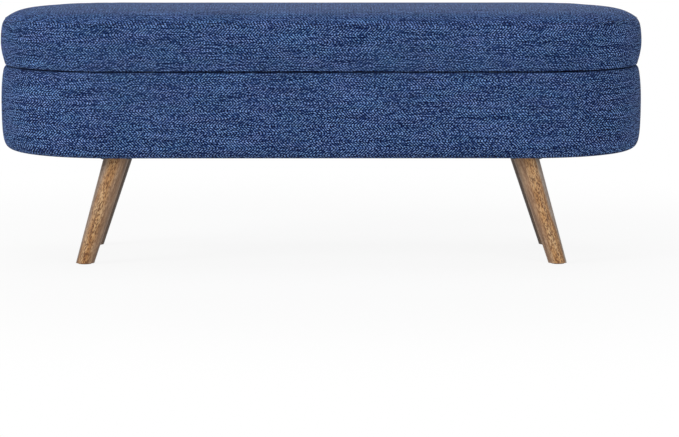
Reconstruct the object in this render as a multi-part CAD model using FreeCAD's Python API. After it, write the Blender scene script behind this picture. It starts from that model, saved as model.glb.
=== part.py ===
import FreeCAD, Part
import math
import os

# Ottoman with storage: an upholstered oval box on four splayed legs, with a padded lid hinged at the back.
# Millimetres. X runs along the length, -Y is the front and +Z is up.
# The origin is on the floor, under the middle of the box.

V = FreeCAD.Vector

# Overall sizes of the box
length = 1105.0
depth = 406.0
leg_height = 183.5
box_height = 146.0
lid_gap = 3.0

# Form of the box's side, from its lower edge to its rim
box_low_round_in = 21.0
box_low_round_up = 27.0
box_low_round_sag = 5.0
box_low_lean = 2.4
box_high_lean = 3.7
box_high_round_down = 9.2
box_rim_in = 8.7
box_swell = 3.2

# Form of the lid's side and of its crown
lid_overhang = 1.5
lid_edge_in = 9.8
lid_low_lean = 3.9
lid_low_round_up = 10.0
lid_high_lean = 3.8
lid_high_up = 67.0
lid_swell = 3.9
lid_seam_in = 9.4
lid_seam_up = 79.0
crown_shoulder_in = 45.0
crown_shoulder_rise = 15.3
crown_shoulder_sag = 1.9
crown_rise = 20.0

# Thicknesses
cover_thickness = 1.5
box_padding_thickness = 12.0
wall_thickness = 12.0
bottom_thickness = 15.0
bottom_chamfer_in = 9.0
bottom_chamfer_up = 7.0
lid_board_thickness = 12.0
wall_lining_thickness = 1.0
floor_lining_thickness = 1.5
dust_cover_thickness = 0.8
cover_tuck = 24.0
soft_clearance = 0.2

# Legs, with their plates and glides
leg_foot_beyond_side = 53.3
leg_plate_in_from_tuck = 4.5
leg_splay_deg = 16.9
leg_foot_radius = 15.0
leg_top_radius = 21.0
plate_size = 60.0
plate_thickness = 2.5
plate_corner = 6.0
stud_radius = 4.0
stud_depth_in_leg = 40.0
stud_hole_clearance = 2.0
glide_radius = 11.0
glide_thickness = 1.5

# Butt hinges
hinge_from_side_end = 119.5
hinge_length = 60.0
hinge_axis_in = 3.0
hinge_leaf_width = 24.0
hinge_leaf_play = 0.2
hinge_pin_radius = 1.8
knuckle_radius = 3.5
knuckle_count = 3
knuckle_end_play = 0.2
knuckle_notch_clearance = 0.4

# Slotted lid stays: the bar's pivot and its stud lie on one circle about the hinge axis
lid_opening_deg = 90.0
stay_from_side_end = 49.5
stay_floor_clearance = 8.0
stay_pivot_below_deg = 10.5
stay_stud_below_deg = 23.5
stay_bar_thickness = 2.5
stay_bar_width = 14.0
stay_pin_radius = 3.0
stay_slot_clearance = 0.15
stay_slot_end_clearance = 0.5
stay_bracket_thickness = 2.5
stay_bracket_boss = 8.0
stay_flange_width = 20.0
wall_flange_height = 36.0
lid_flange_length = 40.0
stay_layer_gap = 0.3
rivet_head_radius = 5.0
rivet_head_thickness = 1.3

# Rubber bumpers that carry the lid's edge
bumper_radius = 5.0
bumper_from_side_end = 49.5
bumper_clearance = 0.1

# Fits
running_clearance = 0.06
fixed_clearance = 0.02

# Plan of the oval: straight sides and round ends
end_radius = depth / 2
half_straight = (length - depth) / 2

# Box, from outside in and from the bottom up
wall_outer = end_radius - cover_thickness - box_padding_thickness
wall_inner = wall_outer - wall_thickness
lining_outer = wall_inner - soft_clearance / 2
lining_inner = lining_outer - wall_lining_thickness
tuck_inner = wall_outer - cover_tuck
box_bottom = leg_height
board_bottom = box_bottom + cover_thickness
board_top = board_bottom + bottom_thickness
box_top = box_bottom + box_height
rim_top = box_top - cover_thickness
storage_floor = board_top + floor_lining_thickness

# Lid
lid_radius = end_radius + lid_overhang
lid_bottom = box_top + lid_gap
lid_board_bottom = lid_bottom + cover_thickness
lid_board_top = lid_board_bottom + lid_board_thickness
lid_board_radius = lid_radius - lid_edge_in - cover_thickness - soft_clearance
lid_tuck_inner = lid_board_radius - cover_tuck
seam_height = lid_bottom + lid_seam_up

# Feet, beyond the ends of the straight sides, with each plate inside the cover's tuck
leg_foot_x = half_straight + leg_foot_beyond_side
leg_foot_y = tuck_inner - leg_plate_in_from_tuck - plate_size / 2

# Places along the straight sides
hinge_x = half_straight - hinge_from_side_end
stay_x = half_straight - stay_from_side_end
bumper_x = half_straight - bumper_from_side_end

# Hinge axis, in the back groove between box and lid
hinge_y = end_radius - hinge_axis_in
hinge_z = box_top + lid_gap / 2
leaf_thickness = (lid_gap - hinge_leaf_play) / 2


# Sections and solids.
# A path is a list of (distance from the middle line, height, sag of the stretch that follows).

def stretch(start, end, sag):
    """A line, or an arc that stands out by sag to the right of the way from start to end."""
    a = V(0, start[0], start[1])
    b = V(0, end[0], end[1])
    if sag == 0:
        return Part.makeLine(a, b)
    along = (b - a).normalize()
    outward = V(0, along.z, -along.y)
    return Part.Arc(a, (a + b) * 0.5 + outward * sag, b).toShape()


def section(path):
    """The flat face inside a closed path."""
    following = path[1:] + path[:1]
    edges = [stretch(here[:2], there[:2], here[2]) for here, there in zip(path, following)]
    return Part.Face(Part.Wire(edges))


def walked_back(path):
    """A path of straight stretches from its far end to its start."""
    return list(reversed(path))


def run_round(face):
    """Carries a section once round the oval: along both straight sides and about both ends."""
    back = face.translated(V(-half_straight, 0, 0)).extrude(V(2 * half_straight, 0, 0))
    front = back.mirror(V(0, 0, 0), V(0, 1, 0))
    end_centre = V(half_straight, 0, 0)
    right_end = face.translated(end_centre).revolve(end_centre, V(0, 0, -1), 180)
    return back.fuse([front, right_end, to_left(right_end)]).removeSplitter()


def oval_board(radius, low, high):
    """A flat oval board whose ends have the given radius."""
    outline = [V(-half_straight, -radius, low), V(half_straight, -radius, low),
               V(half_straight, radius, low), V(-half_straight, radius, low)]
    right_tip = V(half_straight + radius, 0, low)
    left_tip = V(-half_straight - radius, 0, low)
    edges = [Part.makeLine(outline[0], outline[1]),
             Part.Arc(outline[1], right_tip, outline[2]).toShape(),
             Part.makeLine(outline[2], outline[3]),
             Part.Arc(outline[3], left_tip, outline[0]).toShape()]
    return Part.Face(Part.Wire(edges)).extrude(V(0, 0, high - low))


def oval_ring(outer, inner, low, high):
    return oval_board(outer, low, high).cut(oval_board(inner, low, high))


def block(x, y, z):
    """A box from three pairs of limits."""
    return Part.makeBox(x[1] - x[0], y[1] - y[0], z[1] - z[0], V(x[0], y[0], z[0]))


def to_left(shape):
    return shape.mirror(V(0, 0, 0), V(1, 0, 0))


def to_back(shape):
    return shape.mirror(V(0, 0, 0), V(0, 1, 0))


def pair(right):
    """A right-hand solid and its left-hand copy, as one group."""
    return Part.makeCompound([right, to_left(right)])


def four(right_front):
    """The four corners' copies of a right front solid, as one group."""
    left_front = to_left(right_front)
    return Part.makeCompound([right_front, left_front, to_back(right_front), to_back(left_front)])


def save(name, shape):
    shape.exportStep("parts/" + name + ".step")


# Upholstery of the box

def box_outside():
    """The cover's outer line, from the box's lower edge to its rim."""
    low_edge = (end_radius - box_low_round_in, box_bottom)
    low_end = (end_radius - box_low_lean, box_bottom + box_low_round_up)
    chord = math.hypot(low_end[0] - low_edge[0], low_end[1] - low_edge[1])
    outward = ((low_end[1] - low_edge[1]) / chord, (low_edge[0] - low_end[0]) / chord)
    low_middle = tuple((a + b) / 2 + box_low_round_sag * out for a, b, out in zip(low_edge, low_end, outward))
    return [low_edge + (0,), low_middle + (0,), low_end + (box_swell,),
            (end_radius - box_high_lean, box_top - box_high_round_down, 0),
            (end_radius - box_rim_in, box_top, 0)]


def box_inside(gap=0.0):
    """The cover's inner line, or the padding's outer line when a gap is given."""
    inset = cover_thickness + gap
    side = end_radius - box_high_lean - inset
    return [(wall_outer + soft_clearance, board_bottom + bottom_chamfer_up, 0),
            (side, box_bottom + box_low_round_up, 0),
            (side, box_top - box_high_round_down, 0),
            (end_radius - box_rim_in - inset, rim_top, 0)]


def make_box_cover():
    """Woven cover: tucked under the bottom board, up the sides and over the wall's top edge."""
    path = [(tuck_inner, box_bottom, 0)] + box_outside()
    path += [(lining_inner, box_top, 0), (lining_inner, rim_top, 0)]
    path += walked_back(box_inside())
    tuck_start = wall_outer - bottom_chamfer_in + soft_clearance
    path += [(tuck_start, board_bottom, 0), (tuck_inner, board_bottom, 0)]
    return run_round(section(path))


def make_box_padding():
    """Foam between the wall and the cover, thinning to nothing at the lower edge."""
    return run_round(section(box_inside(soft_clearance) + [(wall_outer + soft_clearance, rim_top, 0)]))


# Boards and linings of the box

def make_bottom_panel():
    """Oval board whose lower edge is chamfered under the cover's round."""
    chamfer = [(wall_outer - bottom_chamfer_in, board_bottom, 0),
               (wall_outer, board_bottom + bottom_chamfer_up, 0)]
    path = [(0, board_bottom, 0)] + chamfer + [(wall_outer, board_top, 0), (0, board_top, 0)]
    return run_round(section(path))


def make_back_panel():
    return block((-half_straight, half_straight), (wall_inner, wall_outer), (board_top, rim_top))


def make_right_end_panel():
    """Bent end wall: half of a hoop."""
    beyond = block((half_straight, length), (-depth, depth), (board_top, rim_top))
    return oval_ring(wall_outer, wall_inner, board_top, rim_top).common(beyond)


def make_dust_cover():
    """Cloth under the bottom board, cut out round the leg plates."""
    cloth = oval_board(tuck_inner - soft_clearance, board_bottom - dust_cover_thickness, board_bottom)
    half = plate_size / 2 + soft_clearance
    cut_out = block((leg_top_x - half, leg_top_x + half), (-leg_foot_y - half, -leg_foot_y + half),
                    (plate_bottom, board_bottom))
    return cloth.cut(four(cut_out))


# Legs

plate_bottom = board_bottom - plate_thickness
leg_tilt = math.radians(leg_splay_deg)
leg_axis = V(-math.sin(leg_tilt), 0, math.cos(leg_tilt))
leg_foot = V(leg_foot_x, -leg_foot_y, 0)
leg_length = plate_bottom / math.cos(leg_tilt)
leg_top_x = leg_foot_x - plate_bottom * math.tan(leg_tilt)


def leg_rod(radius, start, end):
    """A round rod on the right front leg's axis, between two distances up from the floor."""
    return Part.makeCylinder(radius, end - start, leg_foot + leg_axis * start, leg_axis)


def make_leg():
    """Right front leg: a turned taper, cut level over its glide and under its plate."""
    spare = leg_top_radius
    growth = spare * (leg_top_radius - leg_foot_radius) / leg_length
    taper = Part.makeCone(leg_foot_radius - growth, leg_top_radius + growth, leg_length + 2 * spare,
                          leg_foot - leg_axis * spare, leg_axis)
    leg = taper.common(block((0, length), (-depth, 0), (glide_thickness, plate_bottom)))
    hole_end = leg_length - stud_depth_in_leg - stud_hole_clearance
    return leg.cut(leg_rod(stud_radius + fixed_clearance, hole_end, leg_length + spare))


def make_glide():
    return Part.makeCylinder(glide_radius, glide_thickness, leg_foot)


def make_plate():
    """Mounting plate with a threaded stud that leans with the leg and runs down into it."""
    half = plate_size / 2
    plate = block((leg_top_x - half, leg_top_x + half), (-leg_foot_y - half, -leg_foot_y + half),
                  (plate_bottom, board_bottom))
    plate = plate.makeChamfer(plate_corner, [edge for edge in plate.Edges if edge.BoundBox.ZLength > 1])
    rod = leg_rod(stud_radius, leg_length - stud_depth_in_leg, leg_length + plate_size)
    rod = rod.common(block((0, length), (-depth, 0), (0, plate_bottom + plate_thickness / 2)))
    return plate.fuse(rod).removeSplitter()


# Hinges

def along_hinge(radius, start, end):
    return Part.makeCylinder(radius, end - start, V(start, hinge_y, hinge_z), V(1, 0, 0))


def knuckle_limits(index):
    """The ends of one knuckle along the right hinge."""
    pitch = hinge_length / knuckle_count
    start = hinge_x - hinge_length / 2 + index * pitch
    return start + knuckle_end_play / 2, start + pitch - knuckle_end_play / 2


def make_leaf(low, high, own_knuckles, bore_clearance):
    """A leaf flat in the gap, with its knuckles round the pin and notches for the other leaf's."""
    ends = (hinge_x - hinge_length / 2, hinge_x + hinge_length / 2)
    leaf = block(ends, (hinge_y - hinge_leaf_width, hinge_y), (low, high))
    for index in range(knuckle_count):
        start, end = knuckle_limits(index)
        if index in own_knuckles:
            leaf = leaf.fuse(along_hinge(knuckle_radius, start, end))
        else:
            notch = along_hinge(knuckle_radius + knuckle_notch_clearance,
                                start - knuckle_end_play, end + knuckle_end_play)
            leaf = leaf.cut(notch)
    return leaf.cut(along_hinge(hinge_pin_radius + bore_clearance, *ends)).removeSplitter()


def make_box_leaf():
    """The leaf on the box's rim; its knuckles hold the pin fast."""
    return make_leaf(box_top, box_top + leaf_thickness, range(0, knuckle_count, 2), fixed_clearance)


def make_lid_leaf():
    """The leaf under the lid; its knuckles run on the pin."""
    return make_leaf(lid_bottom - leaf_thickness, lid_bottom, range(1, knuckle_count, 2), running_clearance)


def make_hinge_pin():
    return along_hinge(hinge_pin_radius, knuckle_limits(0)[0], knuckle_limits(knuckle_count - 1)[1])


# Lid stays. From the middle outwards lie the lid bracket's web, the bar and the wall bracket's web.

def stay_chord(opening_deg):
    """Distance from the bar's pivot to the stud, on a circle of radius 1, with the lid open by so much."""
    between = opening_deg + stay_stud_below_deg - stay_pivot_below_deg
    return 2 * math.sin(math.radians(between / 2))


# The circle is as large as lets the hanging bar clear the storage floor while the lid is closed.
stay_lean_deg = (stay_stud_below_deg + stay_pivot_below_deg) / 2
steepness = math.cos(math.radians(stay_lean_deg))
room_for_bar = hinge_z - storage_floor - stay_floor_clearance
room_for_bar -= stay_bar_width / 2 + stay_slot_end_clearance * steepness
stay_circle_radius = room_for_bar / (math.sin(math.radians(stay_pivot_below_deg))
                                     + stay_chord(lid_opening_deg) * steepness)


def on_stay_circle(below_deg):
    """A point (y, z) on the stays' circle, so many degrees below the hinge axis, towards the front."""
    angle = math.radians(below_deg)
    return hinge_y - stay_circle_radius * math.cos(angle), hinge_z - stay_circle_radius * math.sin(angle)


pivot_y, pivot_z = on_stay_circle(stay_pivot_below_deg)
stud_y, stud_z = on_stay_circle(stay_stud_below_deg)
bar_x = (stay_x - stay_bar_thickness / 2, stay_x + stay_bar_thickness / 2)
lid_web_x = (bar_x[0] - stay_layer_gap - stay_bracket_thickness, bar_x[0] - stay_layer_gap)
wall_web_x = (bar_x[1] + stay_layer_gap, bar_x[1] + stay_layer_gap + stay_bracket_thickness)


def reach_at(opening_deg):
    """Distance from the bar's pivot to the stud when the lid is open by so many degrees."""
    return stay_circle_radius * stay_chord(opening_deg)


def disc(radius, x, y, z):
    return Part.makeCylinder(radius, x[1] - x[0], V(x[0], y, z), V(1, 0, 0))


def web(corners, x):
    """A flat plate between two x limits, from its corners in (y, z)."""
    points = [V(x[0], y, z) for y, z in corners]
    return Part.Face(Part.makePolygon(points + points[:1])).extrude(V(x[1] - x[0], 0, 0))


def long_hole(half_width, x, high, low):
    """A round-ended bar that hangs below the pivot, between two distances from it."""
    body = block(x, (pivot_y - half_width, pivot_y + half_width), (pivot_z - low, pivot_z - high))
    ends = [disc(half_width, x, pivot_y, pivot_z - high), disc(half_width, x, pivot_y, pivot_z - low)]
    return body.fuse(ends).removeSplitter()


def make_stay_bar():
    """Slotted bar, drawn hanging straight down and then leaned to where the closed lid puts it."""
    slot_start = reach_at(0) - stay_slot_end_clearance
    slot_end = reach_at(lid_opening_deg) + stay_slot_end_clearance
    bar = long_hole(stay_bar_width / 2, bar_x, 0, slot_end)
    bar = bar.cut(long_hole(stay_pin_radius + stay_slot_clearance, bar_x, slot_start, slot_end))
    bar = bar.cut(disc(stay_pin_radius + running_clearance, bar_x, pivot_y, pivot_z))
    bar.rotate(V(stay_x, pivot_y, pivot_z), V(1, 0, 0), stay_lean_deg)
    return bar


def headed_pin(y, z, web_x, far_x):
    """A pin that stands through the bar from a bracket's web, with a head past the bar."""
    shank = disc(stay_pin_radius, (min(web_x[0], far_x), max(web_x[1], far_x)), y, z)
    head_low = far_x if far_x > web_x[1] else far_x - rivet_head_thickness
    return shank.fuse(disc(rivet_head_radius, (head_low, head_low + rivet_head_thickness), y, z))


def make_wall_bracket():
    """Angle on the back wall whose web carries the stud that the bar slides on."""
    top = stud_z + stay_bracket_boss
    bottom = top - wall_flange_height
    flange = block((wall_web_x[0], wall_web_x[1] + stay_flange_width),
                   (lining_inner - stay_bracket_thickness, lining_inner), (bottom, top))
    bracket = web([(lining_inner, top), (stud_y, top), (stud_y, stud_z - stay_bracket_boss),
                   (lining_inner, bottom)], wall_web_x)
    pin = headed_pin(stud_y, stud_z, wall_web_x, bar_x[0] - stay_layer_gap / 2)
    return bracket.fuse([flange, disc(stay_bracket_boss, wall_web_x, stud_y, stud_z), pin]).removeSplitter()


def make_lid_bracket():
    """Angle under the lid whose web carries the rivet that the bar turns on."""
    half = lid_flange_length / 2
    flange = block((lid_web_x[0] - stay_flange_width, lid_web_x[1]), (pivot_y - half, pivot_y + half),
                   (lid_bottom - stay_bracket_thickness, lid_bottom))
    bracket = web([(pivot_y - half, lid_bottom), (pivot_y + half, lid_bottom),
                   (pivot_y + stay_bracket_boss, pivot_z), (pivot_y - stay_bracket_boss, pivot_z)], lid_web_x)
    pin = headed_pin(pivot_y, pivot_z, lid_web_x, bar_x[1] + stay_layer_gap / 2)
    return bracket.fuse([flange, disc(stay_bracket_boss, lid_web_x, pivot_y, pivot_z), pin]).removeSplitter()


# Lid

def lid_outside():
    """The band's outer line, from the lid's lower edge to the seam."""
    return [(lid_radius - lid_edge_in, lid_bottom, 0),
            (lid_radius - lid_low_lean, lid_bottom + lid_low_round_up, lid_swell),
            (lid_radius - lid_high_lean, lid_bottom + lid_high_up, 0),
            (lid_radius - lid_seam_in, seam_height, 0)]


def lid_inside(gap=0.0):
    """The band's inner line, or the foam's outer line when a gap is given."""
    inset = cover_thickness + gap
    side = lid_radius - max(lid_low_lean, lid_high_lean) - inset
    return [(lid_radius - lid_edge_in - inset, lid_board_bottom, 0),
            (side, lid_bottom + lid_low_round_up, 0),
            (side, lid_bottom + lid_high_up, 0),
            (lid_radius - lid_seam_in - inset, seam_height, 0)]


def shoulder_point(inset):
    """Where the crown's round shoulder ends, moved in by inset."""
    return (lid_radius - lid_seam_in - crown_shoulder_in, seam_height + crown_shoulder_rise - inset, 0)


def make_lid_band():
    """Side band of the lid: from the seam down its sides and tucked under the board."""
    path = [(lid_tuck_inner, lid_bottom, 0)] + lid_outside() + walked_back(lid_inside())
    return run_round(section(path + [(lid_tuck_inner, lid_board_bottom, 0)]))


def make_lid_top_cover():
    """Crowned top cover with its wadding, over the flat foam."""
    seam = lid_radius - lid_seam_in
    shoulder = shoulder_point(0)
    chord = math.hypot(crown_shoulder_in, crown_shoulder_rise)
    middle = ((seam + shoulder[0]) / 2 + crown_shoulder_sag * crown_shoulder_rise / chord,
              seam_height + crown_shoulder_rise / 2 + crown_shoulder_sag * crown_shoulder_in / chord, 0)
    under = shoulder_point(cover_thickness)
    path = [(seam, seam_height, 0), middle, shoulder, (0, seam_height + crown_rise, 0)]
    path += [(0, under[1], 0), under, (seam - cover_thickness, seam_height, 0)]
    return run_round(section(path))


def make_lid_foam():
    """Foam slab on the lid's board, rounded to the seam."""
    side = lid_inside(soft_clearance)
    low = (side[1][0], lid_board_top, 0)
    top = shoulder_point(cover_thickness + soft_clearance)
    path = [(0, lid_board_top, 0), low] + side[2:] + [top, (0, top[1], 0)]
    return run_round(section(path))


def make_bumpers():
    """Rubber bumpers on the front of the rim."""
    middle = (wall_outer + wall_inner) / 2
    return pair(Part.makeCylinder(bumper_radius, lid_gap - bumper_clearance, V(bumper_x, -middle, box_top)))


# Every node of the ottoman

os.makedirs("parts", exist_ok=True)
save("box_cover", make_box_cover())
save("box_padding", make_box_padding())
save("back_panel", make_back_panel())
save("front_panel", to_back(make_back_panel()))
save("right_end_panel", make_right_end_panel())
save("left_end_panel", to_left(make_right_end_panel()))
save("bottom_panel", make_bottom_panel())
save("wall_lining", oval_ring(lining_outer, lining_inner, storage_floor, rim_top))
save("floor_lining", oval_board(lining_outer, board_top, storage_floor))
save("dust_cover", make_dust_cover())
save("lid_bumpers", make_bumpers())

save("front_legs", pair(make_leg()))
save("back_legs", to_back(pair(make_leg())))
save("leg_plates", four(make_plate()))
save("foot_glides", four(make_glide()))

save("hinge_box_leaves", pair(make_box_leaf()))
save("hinge_lid_leaves", pair(make_lid_leaf()))
save("hinge_pins", pair(make_hinge_pin()))

save("right_stay_bar", make_stay_bar())
save("left_stay_bar", to_left(make_stay_bar()))
save("stay_wall_brackets", pair(make_wall_bracket()))
save("stay_lid_brackets", pair(make_lid_bracket()))

save("lid_board", oval_board(lid_board_radius, lid_board_bottom, lid_board_top))
save("lid_foam", make_lid_foam())
save("lid_band", make_lid_band())
save("lid_top_cover", make_lid_top_cover())
save("lid_lining", oval_board(lid_tuck_inner - soft_clearance, lid_bottom, lid_board_bottom))
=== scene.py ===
import math

import bpy
import numpy as np
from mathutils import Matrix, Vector
from mathutils.geometry import delaunay_2d_cdt


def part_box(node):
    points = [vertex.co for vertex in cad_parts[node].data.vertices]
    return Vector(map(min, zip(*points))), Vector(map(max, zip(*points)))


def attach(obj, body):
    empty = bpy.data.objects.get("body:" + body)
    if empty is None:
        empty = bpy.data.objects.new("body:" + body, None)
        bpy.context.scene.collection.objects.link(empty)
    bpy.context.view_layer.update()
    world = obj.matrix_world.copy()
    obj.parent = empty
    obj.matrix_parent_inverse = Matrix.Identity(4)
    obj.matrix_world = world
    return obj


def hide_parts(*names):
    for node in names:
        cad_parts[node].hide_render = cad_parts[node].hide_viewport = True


# Ottoman with storage: upholstery, linings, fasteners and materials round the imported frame. Metres.

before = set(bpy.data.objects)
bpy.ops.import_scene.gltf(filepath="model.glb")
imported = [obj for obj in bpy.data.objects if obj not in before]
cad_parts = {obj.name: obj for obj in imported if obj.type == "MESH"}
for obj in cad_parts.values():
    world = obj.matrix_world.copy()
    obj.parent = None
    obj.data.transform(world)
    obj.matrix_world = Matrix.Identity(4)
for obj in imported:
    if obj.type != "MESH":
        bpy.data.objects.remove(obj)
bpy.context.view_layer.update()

MM = 0.001


# Places and sizes that the frame gives

def reach(node):
    """Half of a node's length along X, half of its width along Y, and its lowest and highest Z."""
    low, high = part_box(node)
    return high.x, high.y, low.z, high.z


lining_x, lining_radius, storage_floor, rim_under = reach("wall_lining")
half_straight = lining_x - lining_radius
_, box_radius, box_bottom, box_top = reach("box_cover")
_, lid_radius, lid_bottom, seam_z = reach("lid_band")
_, wall_radius, board_bottom, board_top = reach("bottom_panel")
_, lid_board_radius, lid_board_bottom, lid_board_top = reach("lid_board")
_, lid_lining_radius, _, _ = reach("lid_lining")
_, floor_lining_radius, _, _ = reach("floor_lining")
_, dust_radius, dust_bottom, dust_top = reach("dust_cover")
plate_edge_x, plate_edge_y, _, _ = reach("leg_plates")
glide_edge_x, glide_edge_y, _, _ = reach("foot_glides")
hinge_x, _, _, _ = reach("hinge_box_leaves")

# Legs: where each foot stands, where its plate is centred, and how far the leg leans for each metre up
PLATE_HALF = 30.0 * MM
PLATE_THICKNESS = 2.5 * MM
GLIDE_RADIUS = 11.0 * MM
LEG_FOOT_RADIUS = 15.0 * MM
LEG_GROWTH = 0.0316
foot_x, foot_y = glide_edge_x - GLIDE_RADIUS, glide_edge_y - GLIDE_RADIUS
plate_x, plate_y = plate_edge_x - PLATE_HALF, plate_edge_y - PLATE_HALF
plate_under = board_bottom - PLATE_THICKNESS
leg_slope = (foot_x - plate_x) / plate_under

# Upholstery. The lines are (inset from the widest line, height above the lower edge) in millimetres: up both
# sides, and along the lid's underside out to its edge, which only droops outside the bumpers.
BOX_SIDE = ((28.8, 0.3), (21.4, 1.2), (15.6, 3.0), (11.0, 5.3), (7.3, 9.0), (4.2, 15.8), (1.6, 30.0),
            (0.3, 50.0), (-0.2, 70.0), (-0.2, 96.0), (0.9, 118.0), (2.2, 130.0), (3.6, 139.0), (4.7, 143.2),
            (6.2, 146.1))
LID_SIDE = ((8.0, -0.5), (7.6, 1.2), (7.0, 4.6), (5.3, 10.0), (2.7, 21.0), (1.0, 36.0), (1.5, 52.0),
            (2.9, 64.0), (5.4, 73.0), (8.4, 77.2))
LID_EDGE = ((28.0, 0.0), (13.5, 0.0), (10.8, -0.5))
BOX_SIDE_RINGS = 27
LID_SIDE_RINGS = 17
LID_SEAM_INSET = 9.2 * MM
CROWN_RISE = 19.1 * MM
CROWN_REACH = 21.5 * MM
CROWN_POWER = 1.05
CROWN_START = 6.5 * MM
COVER_TUCK = 24.0 * MM
RIM_ROUND = 1.2 * MM
BOARD_GAP = 0.2 * MM
CLOSING_SEAM_DEPTH = 1.3 * MM
CLOSING_SEAM_REACH = 2.4 * MM
CLOSING_SEAM_WIDE = 0.35
seam_radius = lid_radius - LID_SEAM_INSET

# Cloth simulation: how far inside its shape each cover starts, how far outside it may end, and how far from
# a held line it moves freely
PUFF_START_INSET = 1.5 * MM
PUFF_CAP = 1.2 * MM
PUFF_FADE = 22.0 * MM
PUFF_FRAMES = 20
PUFF_PRESSURE = 4
PUFF_STRETCH_STIFFNESS = 40
PUFF_SHEAR_STIFFNESS = 12
PUFF_BENDING_STIFFNESS = 1.5

# Linings and dust cover: the size of a cell of a sheet, the room round a leg plate, and how far apart and how
# far from the edge the staples are
SHEET_CELL = 13 * MM
HOLE_MARGIN = 0.5 * MM
STAPLE_STEP = 38 * MM
STAPLE_INSET = 5.5 * MM


# Meshes

def mesh_piece(name, points, faces, materials, slots=None):
    """A new piece. slots gives each face's place in its materials, all the first one if left out."""
    mesh = bpy.data.meshes.new(name)
    mesh.from_pydata(points, [], faces)
    mesh.polygons.foreach_set("use_smooth", [True] * len(faces))
    if slots:
        mesh.polygons.foreach_set("material_index", slots)
    for material in materials:
        mesh.materials.append(material)
    mesh.update()
    piece = bpy.data.objects.new(name, mesh)
    bpy.context.scene.collection.objects.link(piece)
    return piece


class Oval:
    """A grid over the oval plan. Every point is a centre on the middle line plus radius times a ray."""

    def __init__(self, straight_cells, end_cells, extra_x):
        straight = np.linspace(-half_straight, half_straight, straight_cells + 1)
        straight = np.unique(np.concatenate([straight, extra_x]))
        across = np.linspace(-1, 1, 2 * end_cells + 1)
        left = [self.end_column(-half_straight, -1, step / end_cells, across)
                for step in range(end_cells, 0, -1)]
        middle = [self.straight_column(x, across) for x in straight]
        right = [self.end_column(half_straight, 1, step / end_cells, across)
                 for step in range(1, end_cells + 1)]
        columns = left + middle + right
        self.centre = np.array([c for c, _ in columns])
        self.ray = np.array([r for _, r in columns])
        last_i, last_j = self.ray.shape[0] - 1, self.ray.shape[1] - 1
        self.border = [(i, 0) for i in range(last_i)]
        self.border += [(last_i, j) for j in range(last_j)]
        self.border += [(i, last_j) for i in range(last_i, 0, -1)]
        self.border += [(0, j) for j in range(last_j, 0, -1)]
        rows, cols = np.array(self.border).T
        self.border_centre = self.centre[rows, cols]
        self.border_ray = self.ray[rows, cols]

    @staticmethod
    def straight_column(x, across):
        rays = np.stack([np.zeros_like(across), across], 1)
        return np.stack([np.full_like(across, x), np.zeros_like(across)], 1), rays

    @staticmethod
    def end_column(x, side, out, across):
        """One column of a square grid bent into a half disc."""
        rays = []
        for b in across:
            if out > abs(b):
                size, angle = out, math.pi / 4 * b / out
            else:
                size, angle = abs(b), math.copysign(math.pi / 2 - math.pi / 4 * out / abs(b), b)
            rays.append((side * size * math.cos(angle), size * math.sin(angle)))
        return np.stack([np.full_like(across, x), np.zeros_like(across)], 1), np.array(rays)


class Skin:
    """Gathers the points, faces and face materials of one mesh over an oval grid."""

    def __init__(self, oval):
        self.oval, self.points, self.faces, self.slots = oval, [], [], []

    def add(self, points):
        first = len(self.points)
        self.points.extend(map(tuple, points))
        return list(range(first, len(self.points)))

    def ring(self, radius, z):
        flat = self.oval.border_centre + radius * self.oval.border_ray
        return self.add(np.column_stack([flat, np.full(len(flat), z)]))

    def bridge(self, inner, outer, slot=0):
        for a in range(len(inner)):
            b = (a + 1) % len(inner)
            self.faces.append((inner[a], inner[b], outer[b], outer[a]))
            self.slots.append(slot)

    def rings(self, path, slot=0, start=None):
        """Bridges a ring at each (radius, z) of a path, and returns the last."""
        last = start
        for radius, z in path:
            here = self.ring(radius, z)
            if last is not None:
                self.bridge(last, here, slot)
            last = here
        return last

    def deck(self, ring, radius, height, up, slot=0):
        """Fills a ring with the grid, at height(distance from the edge)."""
        oval = self.oval
        count_i, count_j = oval.ray.shape[:2]
        index = np.full((count_i, count_j), -1)
        for place, (i, j) in zip(ring, oval.border):
            index[i, j] = place
        for i in range(1, count_i - 1):
            flat = oval.centre[i, 1:-1] + radius * oval.ray[i, 1:-1]
            inset = radius * (1 - np.linalg.norm(oval.ray[i, 1:-1], axis=1))
            index[i, 1:-1] = self.add(np.column_stack([flat, height(inset)]))
        for i in range(count_i - 1):
            for j in range(count_j - 1):
                quad = (index[i, j], index[i + 1, j], index[i + 1, j + 1], index[i, j + 1])
                self.faces.append(quad if up else quad[::-1])
                self.slots.append(slot)

    def piece(self, name, materials):
        return mesh_piece(name, self.points, self.faces, materials, self.slots)


def spline(points, count):
    """Evenly spread points on a smooth line through the given ones."""
    points = np.array(points, float)
    along = np.concatenate([[0], np.cumsum(np.linalg.norm(np.diff(points, axis=0), axis=1))])
    slope = np.gradient(points, along, axis=0)
    at = np.linspace(0, along[-1], count)
    k = np.clip(np.searchsorted(along, at, side="right") - 1, 0, len(points) - 2)
    step = (along[k + 1] - along[k])[:, None]
    t = ((at - along[k])[:, None]) / step
    return ((2 * t ** 3 - 3 * t ** 2 + 1) * points[k] + (t ** 3 - 2 * t ** 2 + t) * step * slope[k]
            + (3 * t ** 2 - 2 * t ** 3) * points[k + 1] + (t ** 3 - t ** 2) * step * slope[k + 1])


def side_path(profile, radius, bottom, count):
    """A side's rings, from a profile in millimetres."""
    path = spline([(radius - inset * MM, bottom + up * MM) for inset, up in profile], count)
    return [tuple(p) for p in path]


def coordinates(piece):
    co = np.empty(3 * len(piece.data.vertices))
    piece.data.vertices.foreach_get("co", co)
    return co.reshape(-1, 3)


def set_coordinates(piece, co):
    piece.data.vertices.foreach_set("co", co.ravel())
    piece.data.update()


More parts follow.
